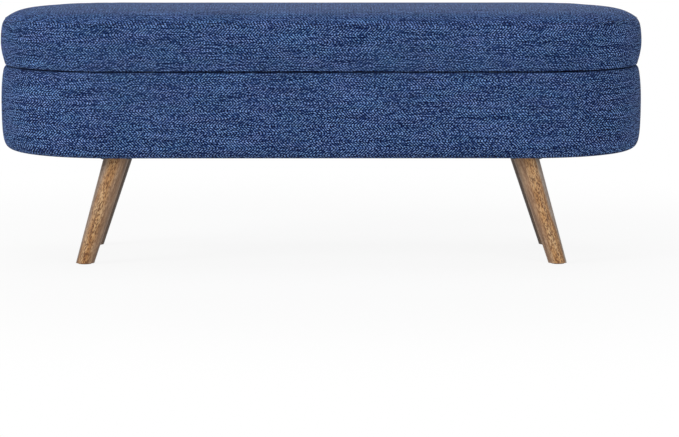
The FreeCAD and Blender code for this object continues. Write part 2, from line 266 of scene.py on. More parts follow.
def inflate(piece, free):
    """Cloth with pressure, on a slightly smaller copy of the shape. The foam keeps each point at its first
    place or beyond it, by PUFF_CAP at most."""
    rest = coordinates(piece)
    normals = np.empty(rest.size)
    piece.data.vertices.foreach_get("normal", normals)
    normals = normals.reshape(-1, 3)
    set_coordinates(piece, rest - normals * PUFF_START_INSET * free[:, None])
    group = piece.vertex_groups.new(name="held")
    for index in np.nonzero(free < 1)[0]:
        group.add([int(index)], 1 - float(free[index]), "REPLACE")
    cloth = piece.modifiers.new("puff", "CLOTH")
    settings = cloth.settings
    settings.vertex_group_mass = "held"
    settings.use_pressure = True
    settings.uniform_pressure_force = PUFF_PRESSURE
    settings.effector_weights.gravity = 0
    settings.tension_stiffness = PUFF_STRETCH_STIFFNESS
    settings.compression_stiffness = PUFF_STRETCH_STIFFNESS
    settings.shear_stiffness = PUFF_SHEAR_STIFFNESS
    settings.bending_stiffness = PUFF_BENDING_STIFFNESS
    cloth.collision_settings.use_collision = False
    scene = bpy.context.scene
    for step in range(1, PUFF_FRAMES + 1):
        scene.frame_set(step)
    evaluated = piece.evaluated_get(bpy.context.evaluated_depsgraph_get())
    puffed = np.empty(rest.size)
    evaluated.data.vertices.foreach_get("co", puffed)
    outward = np.sum((puffed.reshape(-1, 3) - rest) * normals, axis=1)
    piece.modifiers.remove(cloth)
    piece.vertex_groups.clear()
    set_coordinates(piece, rest + normals * (np.clip(outward, 0, PUFF_CAP) * free)[:, None])
    scene.frame_set(1)


def subdivide(piece):
    modifier = piece.modifiers.new("finer", "SUBSURF")
    modifier.levels = 1
    modifier.render_levels = 1


# Materials

class Nodes:
    """The node tree of a new material or world, with short ways to add and link nodes."""

    def __init__(self, name, kind="materials", output="ShaderNodeOutputMaterial"):
        self.owner = getattr(bpy.data, kind).new(name)
        self.owner.use_nodes = True
        self.tree = self.owner.node_tree
        self.tree.nodes.clear()
        self.output = self.add(output)

    def add(self, kind, **values):
        node = self.tree.nodes.new(kind)
        for key, value in values.items():
            setattr(node, key, value)
        return node

    def put(self, socket, value):
        """Links a socket, or sets a number or a colour."""
        if isinstance(value, bpy.types.NodeSocket):
            self.tree.links.new(value, socket)
        elif value is not None:
            socket.default_value = value

    def fill(self, node, *values, **named):
        """Puts values into a node's first inputs and its named ones, and returns its first output."""
        for socket, value in zip(node.inputs, values):
            self.put(socket, value)
        for key, value in named.items():
            self.put(node.inputs[key.replace("_", " ")], value)
        return node.outputs[0]

    def math(self, operation, *values, clamp=False):
        return self.fill(self.add("ShaderNodeMath", operation=operation, use_clamp=clamp), *values)

    def times(self, a, b, plus=None):
        return self.math("MULTIPLY" if plus is None else "MULTIPLY_ADD", a, b, plus)

    def remap(self, value, low, high, new_low=0.0, new_high=1.0, smooth=False):
        node = self.add("ShaderNodeMapRange", interpolation_type="SMOOTHSTEP" if smooth else "LINEAR")
        return self.fill(node, value, low, high, new_low, new_high)

    def mix(self, share, a, b, blend="MIX"):
        node = self.add("ShaderNodeMix", data_type="RGBA", blend_type=blend)
        self.put(node.inputs["Factor"], share)
        self.put(node.inputs[6], a)
        self.put(node.inputs[7], b)
        return node.outputs[2]

    def ramp(self, value, stops):
        node = self.add("ShaderNodeValToRGB")
        elements = node.color_ramp.elements
        while len(elements) < len(stops):
            elements.new(0.5)
        for element, (place, colour) in zip(elements, stops):
            element.position = place
            element.color = colour
        return self.fill(node, value)

    def noise(self, vector, scale, detail=2.0, roughness=0.5, distortion=0.0):
        return self.fill(self.add("ShaderNodeTexNoise"), Vector=vector, Scale=scale, Detail=detail,
                         Roughness=roughness, Distortion=distortion)

    def white(self, vector):
        return self.fill(self.add("ShaderNodeTexWhiteNoise", noise_dimensions="3D"), Vector=vector)

    def vector(self, x=0.0, y=0.0, z=0.0):
        return self.fill(self.add("ShaderNodeCombineXYZ"), x, y, z)

    def place(self):
        """The point on the piece, as (vector, x, y, z) in metres."""
        where = self.add("ShaderNodeTexCoord").outputs["Object"]
        split = self.add("ShaderNodeSeparateXYZ")
        self.fill(split, where)
        return (where, *split.outputs)

    def bump(self, height, strength, distance):
        return self.fill(self.add("ShaderNodeBump"), Strength=strength, Distance=distance, Height=height)

    def surface(self, colour, roughness, normal, **named):
        """Gives the material a Principled shader with these inputs, and returns the material."""
        shader = self.fill(self.add("ShaderNodeBsdfPrincipled"), Base_Color=colour, Roughness=roughness,
                           Normal=normal, **named)
        self.put(self.output.inputs["Surface"], shader)
        return self.owner

    def seen(self):
        """1 where the camera looks, straight or by a reflection, and 0 for all other light."""
        path = self.add("ShaderNodeLightPath")
        return self.math("MAXIMUM", path.outputs["Is Camera Ray"], path.outputs["Is Glossy Ray"])

    def blend(self, share, first, second):
        """Mixes two shader nodes into the output, by the second's share."""
        mixed = self.fill(self.add("ShaderNodeMixShader"), share, first.outputs[0], second.outputs[0])
        self.put(self.output.inputs["Surface"], mixed)


def linear(value):
    """A brightness of 0 to 255 on the screen, in linear light."""
    share = value / 255
    return share / 12.92 if share <= 0.04045 else ((share + 0.055) / 1.055) ** 2.4


def rgb(red, green, blue):
    """A colour given as 0 to 255 on the screen, in linear light."""
    return linear(red), linear(green), linear(blue), 1.0


def perimeter(nodes, x, y):
    """How far round the oval the weave has run from the middle of the front. It follows X until the cloth has
    turned through 45 degrees and Y after that, so it is drawn out a little where it goes round a corner."""
    quarter = half_straight + box_radius * math.sqrt(2)
    size = nodes.math("ABSOLUTE", x)
    beyond = nodes.math("MAXIMUM", nodes.math("SUBTRACT", size, half_straight), 0.0)
    angle = nodes.math("ARCTAN2", beyond, nodes.math("ABSOLUTE", y))
    past = nodes.math("MAXIMUM", nodes.math("SUBTRACT", math.sqrt(0.5), nodes.math("COSINE", angle)), 0.0)
    turned = nodes.math("ADD", nodes.math("MINIMUM", nodes.math("SINE", angle), math.sqrt(0.5)), past)
    along = nodes.times(turned, box_radius, nodes.math("MINIMUM", size, half_straight))
    behind = nodes.math("GREATER_THAN", y, 0.0)
    onward = nodes.math("SUBTRACT", 2 * quarter, nodes.times(along, 2.0))
    along = nodes.times(behind, onward, along)
    return nodes.times(along, nodes.math("SIGN", x))


# The weave: how high one slant of its zigzag is, how wide a light thread and the dark gap beside it are
# together (the gap's darkness is painted shade), how far they lean for each step up, how long one fleck of a
# thread is, and how far rows and threads wander
ROW = 12.7 * MM
STROKE = 4.94 * MM
STROKE_LEAN = 0.92
LINK = 1.1 * MM
WANDER = 3.0 * MM

# What adds to the cloth's brightness: its threads against the painted shade of the gaps, its flecks, which
# are partly the yarn's own mottling and partly painted highlight, less those next to them, and thin weft
# streaks
THREAD_SHARE = 0.46
FLECK_SHARE = 0.56
NEXT_FLECK_SHARE = -0.65
WEFT_SHARE = 0.25
LEAST_LIGHT = 0.03
CLOTH_COLOURS = ((0.14, rgb(0, 0, 14)), (0.36, rgb(0, 8, 44)), (0.56, rgb(14, 35, 82)),
                 (0.75, rgb(66, 93, 146)), (0.95, rgb(148, 178, 234)))


def upholstery(name, upright):
    """Heathered blue cloth, woven in a coarse herringbone. Its rows run round the piece on upright sides, and
    along X on flat faces."""
    nodes = Nodes(name)
    where, x, y, z = nodes.place()
    across, up = (perimeter(nodes, x, y), z) if upright else (x, y)
    drift = nodes.times(nodes.noise(where, 60.0, 2.0), WANDER, -WANDER / 2)
    row_at = nodes.math("DIVIDE", nodes.math("ADD", up, drift), ROW)
    turn = nodes.math("PINGPONG", row_at, 1.0)
    bend = nodes.times(turn, 3.0, nodes.remap(turn, 0.0, 1.0, smooth=True))
    zigzag = nodes.times(bend, 0.25 * STROKE_LEAN * ROW / STROKE)
    stroke_at = nodes.math("ADD", nodes.math("DIVIDE", nodes.math("ADD", across, drift), STROKE), zigzag)
    half = nodes.math("FLOOR", nodes.times(stroke_at, 2.0))
    thread = nodes.math("PINGPONG", half, 1.0)
    row = nodes.math("FLOOR", row_at)
    start = nodes.times(nodes.white(nodes.vector(half, row, 7.0)), 2.0)
    link = nodes.math("FLOOR", nodes.math("ADD", start, nodes.math("DIVIDE", up, LINK)))
    fleck = nodes.white(nodes.vector(half, link, row))
    next_fleck = nodes.white(nodes.vector(half, nodes.math("ADD", link, 1.0), row))
    contrast = nodes.times(next_fleck, NEXT_FLECK_SHARE, fleck)
    weft_at = nodes.vector(nodes.times(across, 9.0), nodes.times(up, 640.0))
    weft = nodes.remap(nodes.noise(weft_at, 1.0, 1.0), 0.3, 0.7)
    # Light threads against gaps whose darkness is painted shade, plus flecks that are partly painted
    # highlight.
    light = nodes.times(thread, THREAD_SHARE, nodes.times(contrast, FLECK_SHARE))
    light = nodes.math("ADD", nodes.times(weft, WEFT_SHARE, light), LEAST_LIGHT)
    colour = nodes.ramp(light, CLOTH_COLOURS)
    patch_at = nodes.vector(nodes.times(across, 14.0), nodes.times(up, 45.0))
    patch = nodes.remap(nodes.noise(patch_at, 1.0, 2.0), 0.3, 0.7)
    tint = nodes.mix(patch, (0.74, 0.94, 0.97, 1), (0.88, 0.88, 0.97, 1))
    colour = nodes.mix(1.0, colour, tint, "MULTIPLY")
    # Painted shade: the flat faces are the same cloth, dimmed in red and green so that they come out darker
    # and bluer than the sides.
    if not upright:
        colour = nodes.mix(1.0, colour, (0.88, 0.96, 1.03, 1), "MULTIPLY")
    relief = nodes.times(fleck, 0.5, nodes.times(thread, 0.5))
    normal = nodes.bump(relief, 0.3, 0.5 * MM)
    return nodes.surface(colour, 0.95, normal, Sheen_Weight=0.01, Sheen_Roughness=0.5,
                         Sheen_Tint=rgb(150, 175, 225), Specular_IOR_Level=0.12)


def plain_cloth(name, dark, light, thread, relief):
    """Fine plain weave, for linings and the dust cover."""
    nodes = Nodes(name)
    where, x, y, z = nodes.place()
    warp = nodes.math("SINE", nodes.times(nodes.math("ADD", x, y), 2 * math.pi / thread))
    weft = nodes.math("SINE", nodes.times(nodes.math("SUBTRACT", nodes.math("ADD", z, x), y),
                                          2 * math.pi / thread))
    weave = nodes.times(warp, weft)
    blotch = nodes.noise(where, 160.0, 3.0)
    share = nodes.times(weave, 0.18, blotch)
    colour = nodes.mix(nodes.math("ADD", share, 0.0, clamp=True), dark, light)
    return nodes.surface(colour, 0.9, nodes.bump(share, relief, 0.3 * MM), Sheen_Weight=0.15)


def bare_steel(name, colour, rough):
    """Zinc-plated or blackened steel with faint rolling marks."""
    nodes = Nodes(name)
    where, x, y, z = nodes.place()
    marks = nodes.noise(nodes.vector(nodes.times(x, 0.05), y, z), 900.0, 2.0)
    spangle = nodes.noise(where, 120.0, 4.0, 0.7)
    shade = nodes.mix(spangle, tuple(0.72 * c for c in colour[:3]) + (1,), colour)
    gloss = nodes.remap(marks, 0.3, 0.7, rough - 0.08, rough + 0.12)
    return nodes.surface(shade, gloss, nodes.bump(marks, 0.15, 0.05 * MM), Metallic=1.0)


PLAIN_WOOD = ((0.3, rgb(128, 98, 76)), (0.48, rgb(168, 133, 104)), (0.66, rgb(196, 163, 133)))
GOLDEN_WOOD = ((0.3, rgb(169, 118, 68)), (0.48, rgb(198, 149, 96)), (0.66, rgb(219, 180, 134)))


def leg_wood(name, own, shade, edge_shade_share):
    """Stained hardwood: grain along each leg's axis, with a golden middle full of dark flecks. A light grey
    painted highlight runs down each leg's outer side. Painted shade makes each leg darker towards the sides
    that face left and right, and dims the left-hand legs more than the right-hand ones. own tells the pairs
    of legs apart, shade dims them with painted shade, and the last argument is how dark the painted shade at
    the sides gets."""
    nodes = Nodes(name)
    where, x, y, z = nodes.place()
    upright = nodes.times(z, leg_slope, nodes.math("ABSOLUTE", x))
    outward = nodes.math("SUBTRACT", upright, foot_x)
    deep = nodes.math("SUBTRACT", nodes.math("ABSOLUTE", y), foot_y)
    leg = nodes.times(nodes.math("SIGN", x), 3.7, own)
    wander = nodes.noise(nodes.vector(leg, own, z), 16.0, 2.0)
    centred = nodes.times(wander, 9.0 * MM, nodes.math("SUBTRACT", outward, 7.5 * MM))
    golden = nodes.remap(nodes.math("ABSOLUTE", centred), 2.5 * MM, 15.0 * MM, 1.0, 0.0, smooth=True)
    # Painted highlight: a light grey streak down each leg's outer side, stronger on the right-hand legs than
    # on the left-hand ones.
    pale_highlight = nodes.remap(centred, 9.0 * MM, 12.0 * MM, smooth=True)
    grain_at = nodes.vector(outward, deep, nodes.times(z, 0.16, leg))
    bands = nodes.noise(grain_at, 150.0, 3.0, 0.6, 0.4)
    colour = nodes.ramp(bands, PLAIN_WOOD)
    warm = nodes.ramp(bands, GOLDEN_WOOD)
    colour = nodes.mix(golden, colour, warm)
    pale_highlight = nodes.times(pale_highlight, nodes.times(nodes.math("SIGN", x), 0.2, 0.6))
    colour = nodes.mix(pale_highlight, colour, rgb(182, 172, 164))
    fleck_at = nodes.vector(outward, deep, nodes.times(z, 0.30, leg))
    flecks = nodes.noise(fleck_at, 640.0, 1.0, 0.6, 0.2)
    dense = nodes.times(golden, 0.55, 0.35)
    dark = nodes.times(nodes.remap(flecks, 0.48, 0.56), dense)
    colour = nodes.mix(dark, colour, rgb(104, 60, 26))
    line_at = nodes.vector(outward, deep, nodes.times(z, 0.05, leg))
    lines = nodes.noise(line_at, 330.0, 2.0, 0.7)
    colour = nodes.mix(nodes.remap(lines, 0.54, 0.64, 0.0, 0.4), colour, rgb(96, 70, 52))
    # Painted shade: each leg is made darker towards the sides that face left and right, a little on the front
    # legs and much on the back ones.
    girth = nodes.times(z, LEG_GROWTH, LEG_FOOT_RADIUS)
    edge = nodes.math("DIVIDE", nodes.math("ABSOLUTE", outward), girth)
    painted_edge_shade = nodes.remap(edge, 0.66, 0.96, 0.0, edge_shade_share, smooth=True)
    colour = nodes.mix(painted_edge_shade, colour, rgb(64, 48, 40))
    # The overall 0.89 dims the wood's own colour; the left-hand legs are dimmed more than the right-hand
    # ones, and shade dims the back pair: both are painted shade.
    tone_and_painted_shade = nodes.times(nodes.math("SIGN", x), 0.06 * shade, 0.89 * shade)
    tint = nodes.vector(tone_and_painted_shade, tone_and_painted_shade, nodes.times(tone_and_painted_shade, 0.97))
    colour = nodes.mix(1.0, colour, tint, "MULTIPLY")
    relief = nodes.math("SUBTRACT", nodes.times(bands, 0.3), flecks)
    gloss = nodes.remap(bands, 0.3, 0.7, 0.46, 0.6)
    return nodes.surface(colour, gloss, nodes.bump(relief, 0.3, 0.3 * MM), Specular_IOR_Level=0.4)


def plywood():
    """Raw plywood, with its plies seen at the edges."""
    nodes = Nodes("plywood")
    where, x, y, z = nodes.place()
    plies = nodes.math("PINGPONG", nodes.math("DIVIDE", z, 1.4 * MM), 1.0)
    grain = nodes.noise(nodes.vector(nodes.times(x, 0.06), y, z), 260.0, 4.0, 0.6)
    colour = nodes.ramp(grain, ((0.3, rgb(188, 150, 104)), (0.7, rgb(222, 194, 150))))
    colour = nodes.mix(nodes.times(plies, 0.3), colour, rgb(150, 110, 70))
    return nodes.surface(colour, 0.7, nodes.bump(grain, 0.3, 0.2 * MM))


def moulded(name, dark, light, rough):
    """Rubber or moulded plastic with a fine texture."""
    nodes = Nodes(name)
    where = nodes.place()[0]
    grain = nodes.noise(where, 1400.0, 2.0)
    shade = nodes.noise(where, 90.0, 2.0)
    gloss = nodes.remap(grain, 0.3, 0.7, rough - 0.08, rough + 0.08)
    return nodes.surface(nodes.mix(shade, dark, light), gloss, nodes.bump(grain, 0.2, 0.1 * MM))


side_cloth = upholstery("cover_cloth_sides", True)
flat_cloth = upholstery("cover_cloth_flat", False)
lining_cloth = plain_cloth("lining_cloth", rgb(22, 22, 25), rgb(48, 48, 53), 1.1 * MM, 0.4)
dust_cloth = plain_cloth("dust_cloth", rgb(14, 14, 15), rgb(34, 34, 36), 2.2 * MM, 0.5)
seam_thread = plain_cloth("seam_thread", rgb(18, 30, 62), rgb(48, 66, 108), 0.9 * MM, 0.5)
lining_thread = plain_cloth("lining_thread", rgb(56, 56, 62), rgb(88, 88, 96), 0.9 * MM, 0.5)
# The crosses of the screw heads are near black: painted shade in the recesses.
painted_recess_shade = moulded("screw_recess_painted_shade", rgb(12, 12, 13), rgb(26, 26, 28), 0.6)
zinc = bare_steel("zinc_plated_steel", rgb(196, 198, 200), 0.34)
black_zinc = bare_steel("black_zinc_steel", rgb(70, 70, 74), 0.45)
front_wood = leg_wood("leg_wood_front", 0.0, 1.0, 0.3)
# The back legs: the same wood, dimmed by painted shade, with more painted shade at their sides.
back_wood = leg_wood("leg_wood_back", 1.9, 0.75, 0.8)
ply = plywood()
rubber = moulded("bumper_rubber", rgb(24, 24, 25), rgb(44, 44, 46), 0.7)
glide_plastic = moulded("glide_plastic", rgb(58, 44, 34), rgb(80, 62, 48), 0.5)


# Upholstery

oval = Oval(88, 22, (-1.2 * MM, 0.0, 1.2 * MM))


def crown(inset):
    """Height of the lid's top at a distance in from its seam."""
    return seam_z + CROWN_RISE * (1 - np.exp(-(inset / CROWN_REACH) ** CROWN_POWER))


def make_lid_cushion():
    """Band and crowned top over the foam, sewn together at the seam and tucked under the board."""
    skin = Skin(oval)
    tuck = lid_lining_radius + 0.1 * MM
    round_board = lid_board_radius + BOARD_GAP
    over_board = lid_board_top + BOARD_GAP
    under_board = lid_board_bottom - BOARD_GAP
    under = skin.rings([(round_board, over_board), (round_board, under_board),
                        (tuck + 0.4 * MM, under_board), (tuck, under_board),
                        (tuck, lid_board_bottom - 0.5 * MM), (tuck, lid_bottom + 0.2 * MM),
                        (tuck, lid_bottom), (tuck + 0.5 * MM, lid_bottom)], 1)
    skin.deck(list(range(len(oval.border))), round_board,
              lambda inset: np.full(len(inset), over_board), False, 1)
    edge = skin.rings([(lid_radius - inset * MM, lid_bottom + up * MM) for inset, up in LID_EDGE], 1, under)
    side = skin.rings(side_path(LID_SIDE, lid_radius, lid_bottom, LID_SIDE_RINGS), 0, edge)
    groove = skin.rings([(seam_radius + 0.5 * MM, seam_z - 1.0 * MM),
                         (seam_radius - 0.8 * MM, seam_z - 0.1 * MM)], 0, side)
    lip = skin.rings([(seam_radius - 1.0 * MM, seam_z + 0.7 * MM)], 1, groove)
    ring = skin.rings([(seam_radius - inset, crown(inset)) for inset in (3.0 * MM, CROWN_START)], 1, lip)
    skin.deck(ring, seam_radius - CROWN_START, lambda inset: crown(inset + CROWN_START), True, 1)
    return skin.piece("lid_cushion", (side_cloth, flat_cloth))


def make_box_upholstery():
    """Padded cover round the walls, wrapped over the rim and tucked under the bottom board."""
    skin = Skin(oval)
    tuck = wall_radius - COVER_TUCK
    inner = wall_radius + BOARD_GAP
    rim = lining_radius - 1.0 * MM
    first = skin.ring(tuck, board_bottom - 0.1 * MM)
    bottom = skin.rings([(tuck, box_bottom), (box_radius - 36.0 * MM, box_bottom)], 1, first)
    side = skin.rings(side_path(BOX_SIDE, box_radius, box_bottom, BOX_SIDE_RINGS), 0, bottom)
    top = skin.rings([(box_radius - 11 * MM, box_top + 0.5 * MM), (wall_radius - 3 * MM, box_top),
                      (rim + RIM_ROUND, box_top), (rim, box_top - RIM_ROUND * 0.4)], 1, side)
    last = skin.rings([(rim, rim_under), (inner, rim_under), (inner, board_bottom - 0.1 * MM)], 1, top)
    skin.bridge(last, first, 1)
    return skin.piece("box_upholstery", (side_cloth, flat_cloth))


def section_place(co):
    """Each point's distance from the middle line, and its height."""
    return np.hypot(np.maximum(np.abs(co[:, 0]) - half_straight, 0), co[:, 1]), co[:, 2]


def freedom(co, outer, held_lines):
    """0 where a point is held, rising to 1 away from the (radius, height) lines where the cloth is fixed."""
    radius, z = section_place(co)
    away = np.min([np.hypot(radius - r, z - h) for r, h in held_lines], axis=0)
    share = np.clip(away / PUFF_FADE, 0, 1)
    return np.where(outer(radius, z), share * share * (3 - 2 * share), 0.0)


def puff(piece, outer, held_lines):
    """Simulates the cloth where outer(radius, height) says that it is free to move."""
    inflate(piece, freedom(coordinates(piece), outer, held_lines))


def closing_seam(piece, low, high):
    """Draws the cloth in along the upright seam at the back, between two heights."""
    co = coordinates(piece)
    _, z = section_place(co)
    at_back = (co[:, 1] > wall_radius + 3 * MM) & (z > low) & (z < high)
    wide = np.exp(-(co[:, 0] / CLOSING_SEAM_REACH) ** 2)
    crease = wide * CLOSING_SEAM_WIDE + (np.abs(co[:, 0]) < 0.1 * MM) * (1 - CLOSING_SEAM_WIDE)
    co[:, 1] -= np.where(at_back, crease * CLOSING_SEAM_DEPTH, 0)
    set_coordinates(piece, co)


lid_cushion = make_lid_cushion()
box_upholstery = make_box_upholstery()
puff(lid_cushion,
     lambda r, z: (z > seam_z - 0.3 * MM) | ((r > lid_board_radius + 2 * MM) & (z > lid_bottom + 0.05 * MM)),
     ((seam_radius, seam_z), (lid_radius - LID_SIDE[0][0] * MM, lid_bottom)))
puff(box_upholstery,
     lambda r, z: (r > wall_radius + 4 * MM) & (z > box_bottom + 0.1 * MM) & (z < box_top - 0.1 * MM),
     ((box_radius - 24 * MM, box_bottom), (box_radius - 6 * MM, box_top)))
closing_seam(lid_cushion, lid_bottom + 3 * MM, seam_z - 3 * MM)
closing_seam(box_upholstery, box_bottom + 6 * MM, box_top - 3 * MM)
for cushion in (lid_cushion, box_upholstery):
    subdivide(cushion)
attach(lid_cushion, "lid")
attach(box_upholstery, "box")
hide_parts("lid_band", "lid_top_cover", "lid_foam")
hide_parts("box_cover", "box_padding")


# Linings and dust cover

def oval_line(radius, step=12 * MM):
    """Points round an oval whose ends have this radius."""
    straight = np.linspace(-half_straight, half_straight, round(2 * half_straight / step) + 1)
    turn = np.linspace(-math.pi / 2, math.pi / 2, round(math.pi * radius / step) + 1)[1:-1]
    half = [(x, -radius) for x in straight]
    half += [(half_straight + radius * math.cos(a), radius * math.sin(a)) for a in turn]
    return half + [(-x, -y) for x, y in half]


def inset_at(x, y, radius):
    return radius - math.hypot(max(abs(x) - half_straight, 0), y)


def clear_of(holes, x, y, margin):
    return not any(x0 - margin < x < x1 + margin and y0 - margin < y < y1 + margin
                   for x0, x1, y0, y1 in holes)


def flat_sheet(name, radius, seen_z, hidden_z, relief, material, holes=()):
    """A closed oval of thin cloth. relief(x, y, inset) moves its seen face towards the hidden one."""
    lines = [oval_line(radius - inset) for inset in (0.0, 0.8 * MM, 3 * MM, 8 * MM)]
    loops = [lines[0]] + [[(x0, y0), (x1, y0), (x1, y1), (x0, y1)] for x0, x1, y0, y1 in holes]
    points, edges = [], []
    for loop in loops:
        first = len(points)
        points += loop
        edges += [(first + k, first + (k + 1) % len(loop)) for k in range(len(loop))]
    for line in lines[1:]:
        points += [p for p in line if clear_of(holes, *p, 2 * MM)]
    for x in np.arange(-half_straight - radius, half_straight + radius, SHEET_CELL):
        for y in np.arange(-radius, radius, SHEET_CELL):
            if inset_at(x, y, radius) > SHEET_CELL + MM and clear_of(holes, x, y, 4 * MM):
                points.append((x, y))
    flat, _, faces, _, _, _ = delaunay_2d_cdt([Vector(p) for p in points], edges, [], 2, 1e-7)
    count = len(flat)
    inward = 1 if hidden_z > seen_z else -1
    thick = abs(hidden_z - seen_z)
    seen = []
    for x, y in flat:
        inset = max(inset_at(x, y, radius), 0.0)
        turned = 0.5 * thick * math.exp(-inset / (0.6 * MM))
        seen.append((x, y, seen_z + inward * min(turned + relief(x, y, inset), 0.8 * thick)))
    hidden = [(x, y, hidden_z) for x, y in flat]
    faces = [tuple(face) for face in faces]
    directed = {(face[k], face[(k + 1) % 3]) for face in faces for k in range(3)}
    rim = [edge for edge in directed if edge[::-1] not in directed]
    rim.sort()
    up = inward < 0
    every = [face if up else face[::-1] for face in faces]
    every += [tuple(k + count for k in (face[::-1] if up else face)) for face in faces]
    for a, b in rim:
        side = (a, a + count, b + count, b)
        every.append(side if up else side[::-1])
    return mesh_piece(name, seen + hidden, every, (material,))


def rest_on_floor(x, y, inset):
    """Low waves of a cloth that lies loose."""
    wave = math.sin(x * 23 + 2 * math.sin(y * 17)) * math.sin(y * 31 + 1.3)
    return 0.35 * MM * (0.5 + 0.5 * wave) * min(inset / (30 * MM), 1)


def stretched(x, y, inset):
    """The longer and lower waves of a cloth that is pulled tight."""
    wave = math.sin(x * 15 + 1) * math.sin(y * 19)
    return 0.3 * MM * (0.5 + 0.5 * wave) * min(inset / (40 * MM), 1)


def puckered(x, y, inset):
    """Small gathers between the staples, dying out from the edge."""
    along = math.sin((x + y) * 2 * math.pi / STAPLE_STEP)
    return 0.2 * MM * (1 + along) * math.exp(-inset / (12 * MM))


def plate_holes():
    """The cut-outs round the leg plates."""
    half = PLATE_HALF + HOLE_MARGIN
    return [(sx * plate_x - half, sx * plate_x + half, sy * plate_y - half, sy * plate_y + half)
            for sx in (-1, 1) for sy in (-1, 1)]


def make_wall_lining():
    """Lining round the inside of the walls: hemmed at the top, a little slack between floor and rim."""
    skin = Skin(oval)
    seen, hidden = lining_radius - 1.0 * MM, lining_radius
    above_floor = ((0.0, 0.0), (0.3, 4.0), (0.7, 22.0), (0.9, 55.0))
    below_rim = ((0.7, 40.0), (0.2, 17.0), (0.0, 14.5), (0.7, 13.8), (0.9, 11.0), (0.8, 3.0), (0.0, 0.0))
    path = [(seen - inset * MM, storage_floor + up * MM) for inset, up in above_floor]
    path += [(seen - inset * MM, rim_under - down * MM) for inset, down in below_rim]
    inner = skin.rings(path)
    outer = skin.rings([(hidden, rim_under), (hidden, storage_floor)], 0, inner)
    skin.bridge(outer, list(range(len(oval.border))))
    piece = skin.piece("wall_lining_cloth", (lining_cloth,))
    co = coordinates(piece)
    radius, z = section_place(co)
    slack = np.clip((radius < seen - 0.1 * MM) * (rim_under - 14 * MM - z) / (30 * MM), 0, 1)
    wave = np.sin(co[:, 0] * 31 + 5 * co[:, 1]) * np.sin(z * 21 + co[:, 0] * 9)
    centre_x = np.clip(co[:, 0], -half_straight, half_straight)
    out = np.column_stack([co[:, 0] - centre_x, co[:, 1]]) / np.maximum(radius, 1e-9)[:, None]
    co[:, :2] += out * (0.45 * MM * slack * wave)[:, None]
    set_coordinates(piece, co)
    return piece


wall_cloth = make_wall_lining()
floor_cloth = flat_sheet("floor_lining_cloth", floor_lining_radius, storage_floor, board_top, rest_on_floor,
                         lining_cloth)
lid_cloth = flat_sheet("lid_lining_cloth", lid_lining_radius, lid_bottom, lid_board_bottom, stretched,
                       lining_cloth)
under_cloth = flat_sheet("dust_cover_cloth", dust_radius, dust_bottom, dust_top, puckered, dust_cloth,
                         plate_holes())


SHEETS = (
    (wall_cloth, "wall_lining", "box", "lining_cloth"),
    (floor_cloth, "floor_lining", "box", "lining_cloth"),
    (lid_cloth, "lid_lining", "lid", "lining_cloth"),
    (under_cloth, "dust_cover", "box", "dust_cloth"),
)
for piece, node, body, slot in SHEETS:
    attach(piece, body)
    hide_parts(node)


# Seams, screws and staples

def frame_along(path, spacing):
    """Places evenly along a closed line, each with the way it runs."""
    path = np.array(path)
    following = np.roll(path, -1, axis=0)
    steps = np.linalg.norm(following - path, axis=1)
    ends = np.cumsum(steps)
    count = round(ends[-1] / spacing)
    for at in (np.arange(count) + 0.5) * ends[-1] / count:
        k = int(np.searchsorted(ends, at))
        share = 1 - (ends[k] - at) / steps[k]
        yield path[k] + (following[k] - path[k]) * share, (following[k] - path[k]) / steps[k]


def stitches(name, places, length, thickness, material):
    """Short spindles of thread, each at a place, along a way and proud along another."""
    spindle = ((-0.5, 0.3), (-0.3, 0.9), (0.0, 1.0), (0.3, 0.9), (0.5, 0.3))
    sides = 6
    points, faces = [], []
    for place, way, proud in places:
        place, way, proud = Vector(place), Vector(way), Vector(proud)
        side = way.cross(proud)
        first = len(points)
        for share, girth in spindle:
            for turn in range(sides):
                angle = 2 * math.pi / sides * turn
                around = side * math.cos(angle) + proud * math.sin(angle)
                points.append(place + way * length * share + around * (0.5 * thickness * girth))
        last = first + sides * (len(spindle) - 1)
        for ring in range(first, last, sides):
            for turn in range(sides):
                a, b = ring + turn, ring + (turn + 1) % sides
                faces.append((a, b, b + sides, a + sides))
        faces.append(tuple(range(first + sides - 1, first - 1, -1)))
        faces.append(tuple(range(last, last + sides)))
    return mesh_piece(name, points, faces, (material,))


def outward_of(flat):
    """The way out of the oval at a point."""
    centre = max(-half_straight, min(half_straight, flat[0]))
    return Vector((flat[0] - centre, flat[1], 0)).normalized()


def ring_stitches(name, radius, z, spacing, length, thickness, material, inward=False):
    places = []
    for flat, way in frame_along(oval_line(radius, 6 * MM), spacing):
        proud = outward_of(flat) * (-1 if inward else 1)
        places.append(((flat[0], flat[1], z), (way[0], way[1], 0), proud))
    return stitches(name, places, length, thickness, material)


def upright_stitches(name, y, low, high):
    places = [((0, y(z), z), (0, 0, 1), (0, 1, 0)) for z in np.arange(low, high, 4 * MM)]
    return stitches(name, places, 3 * MM, 0.7 * MM, seam_thread)


def side_y(profile, radius, bottom, depth):
    """Gives the back's Y at a height, a little inside a side's profile."""
    heights = [bottom + up * MM for _, up in profile]
    insets = [inset * MM for inset, _ in profile]
    return lambda z: radius - float(np.interp(z, heights, insets)) - depth


lid_stitches = ring_stitches("lid_seam_stitches", seam_radius + 0.1 * MM, seam_z + 0.1 * MM, 4 * MM,
                             3.2 * MM, 0.7 * MM, seam_thread)
band_stitches = upright_stitches("band_seam_stitches", side_y(LID_SIDE, lid_radius, lid_bottom, 0.9 * MM),
                                 lid_bottom + 8 * MM, seam_z - 5 * MM)
box_stitches = upright_stitches("box_seam_stitches", side_y(BOX_SIDE, box_radius, box_bottom, 0.9 * MM),
                                box_bottom + 12 * MM, box_top - 6 * MM)
hem_stitches = ring_stitches("lining_hem_stitches", lining_radius - 1.9 * MM, rim_under - 9 * MM, 4.5 * MM,
                             3 * MM, 0.6 * MM, lining_thread, True)


